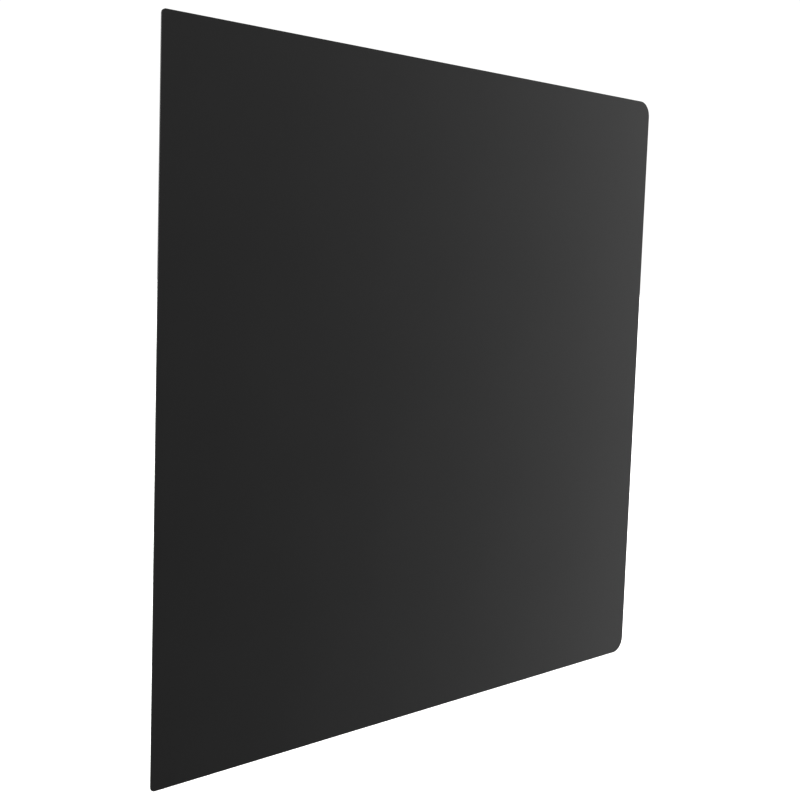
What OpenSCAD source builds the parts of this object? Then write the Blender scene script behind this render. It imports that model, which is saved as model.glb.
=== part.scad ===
// Self-adhesive door kick plate: a thin coated sheet, bonded to the door by
// strips of double-sided foam tape whose release liners peel off first.
//
// Frame: +Z up the door, +X to the right seen from the coated side, +Y out of
// the back and into the door. The origin is the middle of the bonding plane.

/* [Sheet] */
// Width and height of the square sheet
side = 400; // [240:10:1200]
// Thickness of the sheet
sheet_t = 1; // [0.8:0.1:3]
// Radius of the two corners on the +X side
right_r = 10; // [2:0.5:30]
// Radius of the two corners on the -X side
left_r = 2.5; // [1:0.5:30]

/* [Tape] */
// Width of a strip of tape
tape_w = 19; // [12:1:25]
// Thickness of the tape
tape_t = 1.1; // [0.5:0.1:2]
// Bare margin between the sheet's edge and the outer strips
margin = 8; // [6:1:20]
// Bare gap where the end of one strip faces the side of another
gap = 3; // [2:1:10]

/* [Release liner] */
// Thickness of a liner
liner_t = 0.1; // [0.1:0.05:0.3]
// Length of the pull tab, where the liner runs on past its tape
tab_l = 10; // [6:1:20]
// Radius of the pull tab's two corners
tab_r = 3; // [1:0.5:5]

/* [Hidden] */
$fn = 96;

// The layers lie one behind the other, and the liners' outer faces are at y = 0.
liner_y = -liner_t;
tape_y = liner_y - tape_t;
sheet_y = tape_y - sheet_t;

// Two level strips run along the top and bottom edges, and the upright strips
// stand between them at an even pitch.
edge_strip = side / 2 - margin - tape_w / 2;
level_l = side - 2 * margin;
upright_l = 2 * (edge_strip - tape_w / 2 - gap);
upright_names = ["left", "inner_left", "centre", "inner_right", "right"];
pitch = 2 * edge_strip / (len(upright_names) - 1);

// Each strip: its name, the middle of its liner [x, z], the liner's length and
// the direction of its pull tab, in degrees from +X towards +Z.
strips = concat(
    [["top", [0, edge_strip], level_l, 0], ["bottom", [0, -edge_strip], level_l, 0]],
    [for (i = [0 : len(upright_names) - 1])
        [upright_names[i], [i * pitch - edge_strip, 0], upright_l, -90]]
);
function strip_name(strip) = strip[0];
function strip_middle(strip) = strip[1];
function strip_length(strip) = strip[2];
function strip_direction(strip) = strip[3];

function tape_node(strip) = str("tape_", strip_name(strip));
function liner_node(strip) = str("liner_", strip_name(strip));

// Stands a flat outline up in the XZ plane, as a slab from y to y + thickness.
module slab(y, thickness)
    translate([0, y + thickness, 0])
        rotate([90, 0, 0])
            linear_extrude(thickness)
                children();

// What rounding a corner to radius r takes off an outline.
module corner_waste(corner, r)
    translate(corner - [r, r])
        difference() {
            square(r + 1);
            circle(r);
        }

// Lays an outline drawn along +X in a strip's place and direction.
module at_strip(strip)
    translate(strip_middle(strip))
        rotate(strip_direction(strip))
            children();

// The coated sheet, whose four corners are rounded in two pairs.
module sheet()
    color("#282828")
        slab(sheet_y, sheet_t)
            difference() {
                square(side, center = true);
                for (half = [0, 1])
                    mirror([0, half]) {
                        corner_waste([side / 2, side / 2], right_r);
                        mirror([1, 0])
                            corner_waste([side / 2, side / 2], left_r);
                    }
            }

// A strip of foam tape, which ends where its liner's pull tab begins.
module tape(strip)
    color("#45484b")
        slab(tape_y, tape_t)
            at_strip(strip)
                translate([-tab_l / 2, 0])
                    square([strip_length(strip) - tab_l, tape_w], center = true);

// A release liner, which covers its tape and ends in a rounded pull tab.
module liner(strip)
    color("#ece6d8")
        slab(liner_y, liner_t)
            at_strip(strip)
                difference() {
                    square([strip_length(strip), tape_w], center = true);
                    for (half = [0, 1])
                        mirror([0, half])
                            corner_waste([strip_length(strip), tape_w] / 2, tab_r);
                }

sheet();
for (strip = strips) {
    tape(strip);
    liner(strip);
}
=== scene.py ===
import math
import random

import bpy
from mathutils import Matrix, Vector


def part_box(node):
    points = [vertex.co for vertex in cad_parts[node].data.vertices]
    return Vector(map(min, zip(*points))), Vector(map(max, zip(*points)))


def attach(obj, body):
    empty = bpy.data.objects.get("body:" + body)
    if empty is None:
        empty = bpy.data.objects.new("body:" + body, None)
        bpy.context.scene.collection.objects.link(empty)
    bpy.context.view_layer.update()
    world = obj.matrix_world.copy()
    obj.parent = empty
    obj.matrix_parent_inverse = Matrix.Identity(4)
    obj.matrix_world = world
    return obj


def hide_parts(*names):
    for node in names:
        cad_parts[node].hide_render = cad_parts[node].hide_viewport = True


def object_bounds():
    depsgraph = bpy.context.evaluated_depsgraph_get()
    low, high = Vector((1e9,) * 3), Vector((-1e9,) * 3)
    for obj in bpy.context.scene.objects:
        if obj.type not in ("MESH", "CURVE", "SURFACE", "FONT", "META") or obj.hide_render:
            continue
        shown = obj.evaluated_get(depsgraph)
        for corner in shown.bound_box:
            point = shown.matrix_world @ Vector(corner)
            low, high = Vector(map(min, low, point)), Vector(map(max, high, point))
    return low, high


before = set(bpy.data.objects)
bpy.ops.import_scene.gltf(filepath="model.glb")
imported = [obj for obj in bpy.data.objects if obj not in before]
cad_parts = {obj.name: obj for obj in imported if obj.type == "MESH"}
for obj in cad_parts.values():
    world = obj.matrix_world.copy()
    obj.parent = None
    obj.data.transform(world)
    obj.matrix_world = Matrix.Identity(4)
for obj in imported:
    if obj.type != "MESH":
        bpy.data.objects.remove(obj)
cad_low, cad_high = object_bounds()

# The visible model of a self-adhesive door kick plate. The sheet, the foam tapes and the release liners
# each get a mesh that stands for the CAD node of the same piece. Lengths are in metres, in the CAD frame:
# +X to the right and +Z up as seen from the coated side, +Y out of the back.
MM = 0.001
SIDE = cad_high.z - cad_low.z
STRIPS = ("top", "bottom", "left", "inner_left", "centre", "inner_right", "right")

# The coated sheet: the radii of its corners, and of the small round along its front and back edges
RIGHT_CORNER = 10 * MM
LEFT_CORNER = 2.5 * MM
EDGE_ROUND = 0.12 * MM
CORNER_STEPS = 24
EDGE_STEPS = 5

# The foam tape: its adhesive film's thickness, how far the foam's cut sides are drawn in and how unevenly
FILM = 0.06 * MM
FOAM_HOLLOW = 0.22 * MM
FOAM_RAGGED = 0.05 * MM
FOAM_STEPS = 7

# The release liner: its pull tab's rounded corners, how far the tab bends towards the plate and cups across
# its width, and its ripples: their height, the number of waves that they are the sum of, the waves' pitch in
# radians a metre along the liner, and their greatest slant in radians across half its width
TAB_CORNER = 3 * MM
TAB_DIP = 0.55 * MM
TAB_CUP = 0.12 * MM
RIPPLE = 0.03 * MM
RIPPLE_WAVES = 5
RIPPLE_PITCH = (60, 260)
RIPPLE_SLANT = 1.5

# How finely the strips are divided along their length, along the tabs, round a tab's corner and across, and
# the angle above which an edge of a strip is shaded sharp
STRIP_PITCH = 3 * MM
TAB_PITCH = 1 * MM
TAB_STEPS = 8
CELLS_ACROSS = 8
SHARP = math.radians(40)

# The sockets of Blender's Mix node that carry colours
MIX_FIRST = 6
MIX_SECOND = 7
MIX_RESULT = 2

# The camera: left of the plate and a little above its middle, leaning slightly. Its target is a share of the
# plate's side away from the middle of the coated face.
TARGET = (-0.08226, 0.01841)
AZIMUTH = -42.651
ELEVATION = 5.389
DISTANCE = 1.81667 * SIDE
LEAN = 1.905
LENS = 54.645
SHIFT = -0.01913

# The studio: brightness of the room, which is brighter overhead and darker underfoot by a share, and of its
# lights. The tall light on the right begins at a sine of the level angle from the plate's normal. Each
# round light behind the plate has a direction, the cosine of the angle from it at which the light begins,
# and a brightness. The backdrop is all that the camera sees of the room.
ROOM_LIGHT = 0.2673
OVERHEAD = 0.95
STRIP_LIGHT = 3.25
STRIP_START = 0.778
BACK_LIGHTS = (((-0.5, 0.85, 0.15), 0.7, 2), ((0.65, 0.7, 0.3), 0.75, 1.6))
CEILING_LIGHT = 5
CEILING_SPREAD = math.radians(5)
BACKDROP = 1.05
FLOOR_REACH = 40 * SIDE


# --- Meshes ---------------------------------------------------------------------------------------------


def mesh_object(name, points, faces, materials, face_slots=None):
    """A smooth-shaded mesh object with its materials; face_slots gives each face's material index."""
    mesh = bpy.data.meshes.new(name)
    mesh.from_pydata(points, [], faces)
    mesh.shade_smooth()
    for material in materials:
        mesh.materials.append(material)
    if face_slots:
        mesh.polygons.foreach_set("material_index", face_slots)
    made = bpy.data.objects.new(name, mesh)
    bpy.context.scene.collection.objects.link(made)
    return made


def stand_for(piece, node, body):
    """The piece replaces its CAD node and rides on that node's body."""
    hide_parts(node)
    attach(piece, body)


def sheet_rim(low, high):
    """The sheet's outline as corner arcs in order round it, each a centre (x, z), a radius and its angles."""
    arcs = []
    for quarter, (x, z) in enumerate([(high.x, high.z), (low.x, high.z), (low.x, low.z), (high.x, low.z)]):
        radius = RIGHT_CORNER if x > 0 else LEFT_CORNER
        centre = (x - math.copysign(radius, x), z - math.copysign(radius, z))
        angles = [(quarter + step / CORNER_STEPS) * math.pi / 2 for step in range(CORNER_STEPS + 1)]
        arcs.append((centre, radius, angles))
    return arcs


def edge_profile(low, high):
    """Points down the sheet's edge from its front face to its back: inset, y, and the normal's slope."""
    slopes = [step / EDGE_STEPS * math.pi / 2 for step in range(EDGE_STEPS + 1)]
    round_off = [(EDGE_ROUND * (1 - math.sin(a)), EDGE_ROUND * (1 - math.cos(a)), a) for a in slopes]
    front = [(inset, low.y + depth, slope) for inset, depth, slope in round_off]
    back = [(inset, high.y - depth, math.pi - slope) for inset, depth, slope in reversed(round_off)]
    return front + back


def coated_sheet(node, materials):
    """The sheet with small rounds along its edges; its two faces stay dead flat."""
    low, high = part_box(node)
    arcs = sheet_rim(low, high)
    rim = [(centre, radius, angle) for centre, radius, angles in arcs for angle in angles]
    profile = edge_profile(low, high)
    points, normals, faces, slots = [], [], [], []
    for inset, y, slope in profile:
        for (cx, cz), radius, angle in rim:
            out_x, out_z = math.cos(angle), math.sin(angle)
            points.append((cx + (radius - inset) * out_x, y, cz + (radius - inset) * out_z))
            normals.append((out_x * math.sin(slope), -math.cos(slope), out_z * math.sin(slope)))
    # The edge: a band of faces between each two points of the profile
    count = len(rim)
    for ring in range(len(profile) - 1):
        for i in range(count):
            here, there = ring * count, (ring + 1) * count
            j = (i + 1) % count
            faces.append((here + i, there + i, there + j, here + j))
            slots.append(0)
    # The front and back: a quad between the corners' centres, a fan in each corner and a band along each side
    for ring, y, facing, slot in ((0, low.y, 1, 0), (len(profile) - 1, high.y, -1, 1)):
        hubs = [len(points) + corner for corner in range(len(arcs))]
        points += [(cx, y, cz) for (cx, cz), _, _ in arcs]
        normals += [(0, -facing, 0)] * len(arcs)
        cap = [hubs]
        for corner, hub in enumerate(hubs):
            first = corner * (CORNER_STEPS + 1)
            arc = [ring * count + first + step for step in range(CORNER_STEPS + 1)]
            following = ring * count + (first + CORNER_STEPS + 1) % count
            cap += [(hub, a, b) for a, b in zip(arc, arc[1:])]
            cap.append((hub, arc[-1], following, hubs[(corner + 1) % len(hubs)]))
        faces += [tuple(face[::facing]) for face in cap]
        slots += [slot] * len(cap)
    sheet = mesh_object("coated_sheet", points, faces, materials, slots)
    sheet.data.normals_split_custom_set_from_vertices(normals)
    return sheet


def strip_frame(low, high):
    """A strip's middle, its directions towards its pull tab and across, and its length and width."""
    size = high - low
    middle = (low + high) / 2
    if size.x > size.z:
        return middle, Vector((1, 0, 0)), Vector((0, 0, -1)), size.x, size.z
    return middle, Vector((0, 0, -1)), Vector((-1, 0, 0)), size.z, size.x


def spaced(start, end, pitch):
    """Evenly spaced values from start to end, about a pitch apart."""
    count = max(1, round(abs(end - start) / pitch))
    return [start + (end - start) * i / count for i in range(count + 1)]


def foam_tape(name, node, seed, materials):
    """A strip of foam between two adhesive films: the foam's cut sides are drawn in and a little ragged."""
    low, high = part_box(node)
    middle, along, across, length, width = strip_frame(low, high)
    chance = random.Random(seed)
    # Each layer of the cut sides: how far it is from the sheet, and how far it is drawn in
    depth = high.y - low.y
    core = depth - 2 * FILM
    foam = [FILM + core * step / FOAM_STEPS for step in range(FOAM_STEPS + 1)]
    foam = [(y, FOAM_HOLLOW * math.sin(math.pi * (y - FILM) / core)) for y in foam]
    layers = [(0, 0)] + foam + [(depth, 0)]
    stations = spaced(-length / 2, length / 2, STRIP_PITCH)
    points, faces, slots = [], [], []
    for station in stations:
        for side in (-1, 1):
            for y, hollow in layers:
                inset = hollow + (chance.uniform(0, FOAM_RAGGED) if hollow else 0)
                place = middle + along * station + across * side * (width / 2 - inset)
                points.append((place.x, low.y + y, place.z))
    # The outermost bands of the cut sides are the adhesive films' edges
    row = len(layers)
    side_slots = [1 if k in (0, row - 2) else 0 for k in range(row - 1)]
    for i in range(len(stations) - 1):
        here, there = i * 2 * row, (i + 1) * 2 * row
        for k, slot in enumerate(side_slots):
            faces.append((here + k, there + k, there + k + 1, here + k + 1))
            faces.append((here + row + k, here + row + k + 1, there + row + k + 1, there + row + k))
            slots += [slot, slot]
        faces.append((here, here + row, there + row, there))
        faces.append((here + row - 1, there + row - 1, there + 2 * row - 1, here + 2 * row - 1))
        slots += [1, 1]
    for here, order in ((0, 1), ((len(stations) - 1) * 2 * row, -1)):
        for k in range(row - 1):
            faces.append((here + k, here + k + 1, here + row + k + 1, here + row + k)[::order])
        slots += side_slots
    tape = mesh_object(name, points, faces, materials, slots)
    tape.data.set_sharp_from_angle(angle=SHARP)
    return tape


def tab_half_width(from_end, width):
    """Half a liner's width at a distance from the end of its tab, whose two corners are rounded."""
    if from_end >= TAB_CORNER:
        return width / 2
    return width / 2 - TAB_CORNER + math.sqrt(TAB_CORNER ** 2 - (TAB_CORNER - from_end) ** 2)


def liner_lift(station, share, tab_start, tab_end, waves):
    """How far a liner stands off the plane it is stuck to: faint ripples, and a tab that bends inwards."""
    if station > tab_start:
        t = (station - tab_start) / (tab_end - tab_start)
        return -TAB_DIP * t * t + TAB_CUP * t * (share * share - 1)
    fade = min(1, (tab_start - station) / TAB_CORNER)
    swells = [math.sin(station * pitch + share * slant + phase) for pitch, slant, phase in waves]
    return RIPPLE * fade * max(0, sum(swells) / len(waves))


def ripples(seed):
    """The waves that a liner's ripples are made of: pitch along it, slant across it and phase."""
    chance = random.Random(seed)
    return [(chance.uniform(*RIPPLE_PITCH), chance.uniform(-RIPPLE_SLANT, RIPPLE_SLANT),
             chance.uniform(0, 2 * math.pi)) for _ in range(RIPPLE_WAVES)]


def release_liner(name, node, tape_node, seed, materials):
    """A paper liner: square at one end, with a pull tab that runs on past its tape at the other."""
    low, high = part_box(node)
    middle, along, across, length, width = strip_frame(low, high)
    tape_length = strip_frame(*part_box(tape_node))[3]
    waves = ripples(seed)
    tab_start, tab_end = tape_length - length / 2, length / 2
    turns = [step / TAB_STEPS * math.pi / 2 for step in range(1, TAB_STEPS + 1)]
    stations = spaced(-length / 2, tab_start, STRIP_PITCH)
    stations += spaced(tab_start, tab_end - TAB_CORNER, TAB_PITCH)[1:]
    stations += [tab_end - TAB_CORNER + TAB_CORNER * math.sin(turn) for turn in turns]
    columns = CELLS_ACROSS + 1
    points, faces = [], []
    for y in (low.y, high.y):
        for station in stations:
            half = tab_half_width(tab_end - station, width)
            for column in range(columns):
                share = 2 * column / CELLS_ACROSS - 1
                place = middle + along * station + across * share * half
                lift = liner_lift(station, share * half * 2 / width, tab_start, tab_end, waves)
                points.append((place.x, y + lift, place.z))
    layer = len(stations) * columns
    last = layer - columns
    for i in range(len(stations) - 1):
        for column in range(CELLS_ACROSS):
            a = i * columns + column
            cell = (a, a + 1, a + columns + 1, a + columns)
            faces.append(cell)
            faces.append(tuple(layer + corner for corner in reversed(cell)))
        a, b = i * columns, (i + 1) * columns
        faces.append((a, b, layer + b, layer + a))
        a, b = a + CELLS_ACROSS, b + CELLS_ACROSS
        faces.append((b, a, layer + a, layer + b))
    for column in range(CELLS_ACROSS):
        faces.append((column + 1, column, layer + column, layer + column + 1))
        a = last + column
        faces.append((a, a + 1, layer + a + 1, layer + a))
    liner = mesh_object(name, points, faces, materials)
    liner.data.set_sharp_from_angle(angle=SHARP)
    return liner


# --- Materials ------------------------------------------------------------------------------------------


class Shader:
    """A Principled material built up from patterns in the object's own coordinates."""

    def __init__(self, name):
        self.material = bpy.data.materials.new(name)
        self.material.use_nodes = True
        self.tree = self.material.node_tree
        self.surface = self.tree.nodes["Principled BSDF"]
        self.place = self.node("ShaderNodeTexCoord").outputs["Object"]
        self.normal = None

    def node(self, kind, **inputs):
        """A new node; each input, named with _ for a space, takes a value or another node's output."""
        made = self.tree.nodes.new(kind)
        for name, value in inputs.items():
            self.feed(made, name.replace("_", " "), value)
        return made

    def feed(self, node, name, value):
        """Sets a node's input to a value, or links another node's output to it."""
        if isinstance(value, bpy.types.NodeSocket):
            self.tree.links.new(value, node.inputs[name])
        else:
            node.inputs[name].default_value = value

    def set(self, name, value):
        """Feeds an input of the Principled surface itself."""
        self.feed(self.surface, name, value)

    def noise(self, size, detail=2, roughness=0.5, stretch=(1, 1, 1)):
        """Noise whose lumps are about that far across, longer along an axis whose stretch is small."""
        place = self.node("ShaderNodeMapping", Vector=self.place, Scale=stretch).outputs[0]
        made = self.node("ShaderNodeTexNoise", Vector=place, Scale=1 / size, Detail=detail)
        made.inputs["Roughness"].default_value = roughness
        return made.outputs["Fac"]

    def cells(self, size):
        """Rounded cells about that far across: 0 at their middles, rising to their walls."""
        return self.node("ShaderNodeTexVoronoi", Vector=self.place, Scale=1 / size).outputs["Distance"]

    def span(self, pattern, low, high, start=0.3, end=0.7):
        """Maps the pattern's values from start..end to low..high."""
        made = self.node("ShaderNodeMapRange", Value=pattern, From_Min=start, From_Max=end)
        made.inputs["To Min"].default_value = low
        made.inputs["To Max"].default_value = high
        return made.outputs[0]

    def colour(self, share, first, second):
        """Colours the surface from first to second as share goes from 0 to 1."""
        made = self.tree.nodes.new("ShaderNodeMix")
        made.data_type = "RGBA"
        self.tree.links.new(share, made.inputs[0])
        made.inputs[MIX_FIRST].default_value = (*first, 1)
        made.inputs[MIX_SECOND].default_value = (*second, 1)
        self.set("Base Color", made.outputs[MIX_RESULT])

    def relief(self, pattern, height):
        """Adds bumps as high as that where the pattern goes from 0 to 1."""
        made = self.node("ShaderNodeBump", Height=pattern, Distance=height, Strength=1)
        if self.normal:
            self.tree.links.new(self.normal, made.inputs["Normal"])
        self.normal = made.outputs[0]
        self.set("Normal", self.normal)


def grey(value, tint=0.0):
    """A grey of that linear value, a little warm where tint is above 0 and cool where it is below."""
    return (value * (1 + tint), value, value * (1 - tint))


def powder_coat():
    """Fine matt powder coat: shallow orange peel with a finer grain on it, and hardly any colour drift."""
    shader = Shader("powder_coat")
    drift = shader.noise(90 * MM)
    shader.colour(shader.span(drift, 0, 1), grey(0.0098), grey(0.0102))
    shader.set("Roughness", shader.span(shader.noise(50 * MM, detail=4), 0.36, 0.38))
    shader.relief(shader.noise(1.6 * MM), height=0.014 * MM)
    shader.relief(shader.noise(0.3 * MM, detail=3), height=0.015 * MM)
    return shader.material


def back_coat():
    """The thinner, drier coat on the back, where the powder lies less evenly."""
    shader = Shader("back_coat")
    drift = shader.noise(45 * MM, detail=5)
    shader.colour(shader.span(drift, 0, 1), grey(0.014), grey(0.018))
    shader.set("Roughness", shader.span(shader.noise(20 * MM, detail=5), 0.55, 0.68))
    shader.relief(shader.noise(2.2 * MM), height=0.02 * MM)
    shader.relief(shader.noise(0.4 * MM, detail=4), height=0.025 * MM)
    return shader.material


def tape_foam():
    """Dark grey closed-cell foam, cut through so that its cells show; the colour is painted shade, darker in
    the cells' hollows and lighter at their walls.
    """
    shader = Shader("tape_foam")
    cells = shader.cells(0.18 * MM)
    # Painted shade: the colour goes dark in the middles of the cells, where their bumps dip, and light at
    # their walls
    shader.colour(shader.span(cells, 0, 1, 0, 0.6), grey(0.032, -0.02), grey(0.06, -0.02))
    shader.set("Roughness", 0.85)
    shader.set("Specular IOR Level", 0.25)
    shader.relief(cells, height=0.05 * MM)
    return shader.material


def tape_adhesive():
    """The tacky film on the foam: dark, fairly glossy and faintly wavy."""
    shader = Shader("tape_adhesive")
    drift = shader.noise(4 * MM)
    shader.colour(shader.span(drift, 0, 1), grey(0.034, -0.02), grey(0.04, -0.02))
    shader.set("Roughness", shader.span(shader.noise(6 * MM, detail=3), 0.2, 0.28))
    shader.relief(shader.noise(1.5 * MM, detail=3), height=0.015 * MM)
    return shader.material


def liner_paper():
    """Glassine paper: cream, dense and faintly mottled, with short fibres and a low gloss."""
    shader = Shader("liner_paper")
    mottle = shader.noise(3.5 * MM, detail=5, roughness=0.6)
    shader.colour(shader.span(mottle, 0, 1), (0.815, 0.755, 0.635), (0.85, 0.795, 0.68))
    shader.set("Roughness", shader.span(shader.noise(2 * MM, detail=4), 0.42, 0.55))
    shader.relief(shader.noise(0.6 * MM, detail=4, stretch=(0.35, 1, 0.35)), height=0.01 * MM)
    return shader.material


def floor_paint():
    """Plain matt white paint."""
    shader = Shader("floor_paint")
    drift = shader.noise(300 * MM)
    shader.colour(shader.span(drift, 0, 1), grey(0.87), grey(0.88))
    shader.set("Roughness", 0.9)
    shader.set("Specular IOR Level", 0.1)
    return shader.material


# --- Stage ----------------------------------------------------------------------------------------------


def make_camera():
    """Aims at TARGET from AZIMUTH, where 0 is in front of the plate and negative is towards -X."""
    target = Vector((TARGET[0] * SIDE, cad_low.y, TARGET[1] * SIDE))
    azimuth, elevation = math.radians(AZIMUTH), math.radians(ELEVATION)
    level = Vector((math.sin(azimuth), -math.cos(azimuth), 0))
    place = target + DISTANCE * (level * math.cos(elevation) + Vector((0, 0, math.sin(elevation))))
    data = bpy.data.cameras.new("camera")
    data.lens = LENS
    data.shift_y = SHIFT
    camera = bpy.data.objects.new("camera", data)
    bpy.context.scene.collection.objects.link(camera)
    facing = (target - place).to_track_quat("-Z", "Y").to_matrix()
    turn = facing @ Matrix.Rotation(math.radians(LEAN), 3, "Z")
    camera.matrix_world = Matrix.Translation(place) @ turn.to_4x4()
    bpy.context.scene.camera = camera


def make_ceiling():
    """Even light from straight above, which whitens the floor and only grazes the plate's faces."""
    data = bpy.data.lights.new("ceiling", "SUN")
    data.energy = CEILING_LIGHT
    data.angle = CEILING_SPREAD
    data.use_shadow = False
    light = bpy.data.objects.new("ceiling", data)
    bpy.context.scene.collection.objects.link(light)


def make_world():
    """The room and its soft lights, which light the plate, and the plain backdrop that the camera sees."""
    world = bpy.data.worlds.new("studio")
    bpy.context.scene.world = world
    world.use_nodes = True
    tree = world.node_tree
    tree.nodes.clear()

    def node(kind, *inputs, output=0, **settings):
        """A new node's output; the inputs are values or other nodes' outputs, in the node's own order."""
        made = tree.nodes.new(kind)
        for name, value in settings.items():
            setattr(made, name, value)
        for socket, value in zip(made.inputs, inputs):
            if isinstance(value, bpy.types.NodeSocket):
                tree.links.new(value, socket)
            else:
                socket.default_value = value
        return made.outputs[output]

    def maths(operation, *inputs):
        return node("ShaderNodeMath", *inputs, operation=operation)

    def soft_light(nearness, start, strength):
        """Light that grows from nothing where nearness is start to its full strength where it is 1."""
        inside = node("ShaderNodeMapRange", nearness, start, 1, 0, 1)
        return maths("MULTIPLY", maths("POWER", inside, 2), strength)

    direction = node("ShaderNodeTexCoord", output="Generated")
    level = node("ShaderNodeVectorMath", direction, (1, 1, 0), operation="MULTIPLY")
    level = node("ShaderNodeVectorMath", level, operation="NORMALIZE")
    rightness = node("ShaderNodeSeparateXYZ", level, output="X")
    height = node("ShaderNodeSeparateXYZ", direction, output="Z")
    light = maths("MULTIPLY_ADD", height, ROOM_LIGHT * OVERHEAD, ROOM_LIGHT)
    light = maths("ADD", light, soft_light(rightness, STRIP_START, STRIP_LIGHT))
    for middle, start, strength in BACK_LIGHTS:
        towards = Vector(middle).normalized()
        nearness = node("ShaderNodeVectorMath", direction, towards, operation="DOT_PRODUCT", output="Value")
        light = maths("ADD", light, soft_light(nearness, start, strength))
    white = (1, 1, 1, 1)
    room = node("ShaderNodeBackground", white, light)
    backdrop = node("ShaderNodeBackground", white, BACKDROP)
    seen = node("ShaderNodeLightPath", output="Is Camera Ray")
    mix = node("ShaderNodeMixShader", seen, room, backdrop)
    tree.links.new(mix, tree.nodes.new("ShaderNodeOutputWorld").inputs["Surface"])


def make_floor():
    """A pale floor under the plate's lower edge; it takes light but throws none back at the plate."""
    corners = [(x * FLOOR_REACH, y * FLOOR_REACH, cad_low.z) for x, y in ((-1, -1), (1, -1), (1, 1), (-1, 1))]
    floor = mesh_object("floor", corners, [(0, 1, 2, 3)], [floor_paint()])
    floor.visible_diffuse = False
    floor.visible_glossy = False
    floor.visible_shadow = False


# --- The object -----------------------------------------------------------------------------------------


def main():
    """Makes the camera, the studio and every piece."""
    make_camera()
    make_ceiling()
    make_world()
    make_floor()
    bpy.context.scene.view_settings.view_transform = "Standard"
    stand_for(coated_sheet("sheet", [powder_coat(), back_coat()]), "sheet", "plate")
    foam, adhesive, paper = tape_foam(), tape_adhesive(), liner_paper()
    for seed, strip in enumerate(STRIPS):
        tape_node, liner_node = "tape_" + strip, "liner_" + strip
        tape = foam_tape("foam_tape_" + strip, tape_node, seed, [foam, adhesive])
        stand_for(tape, tape_node, "plate")
        liner = release_liner("release_liner_" + strip, liner_node, tape_node, seed, [paper])
        stand_for(liner, liner_node, liner_node)


main()
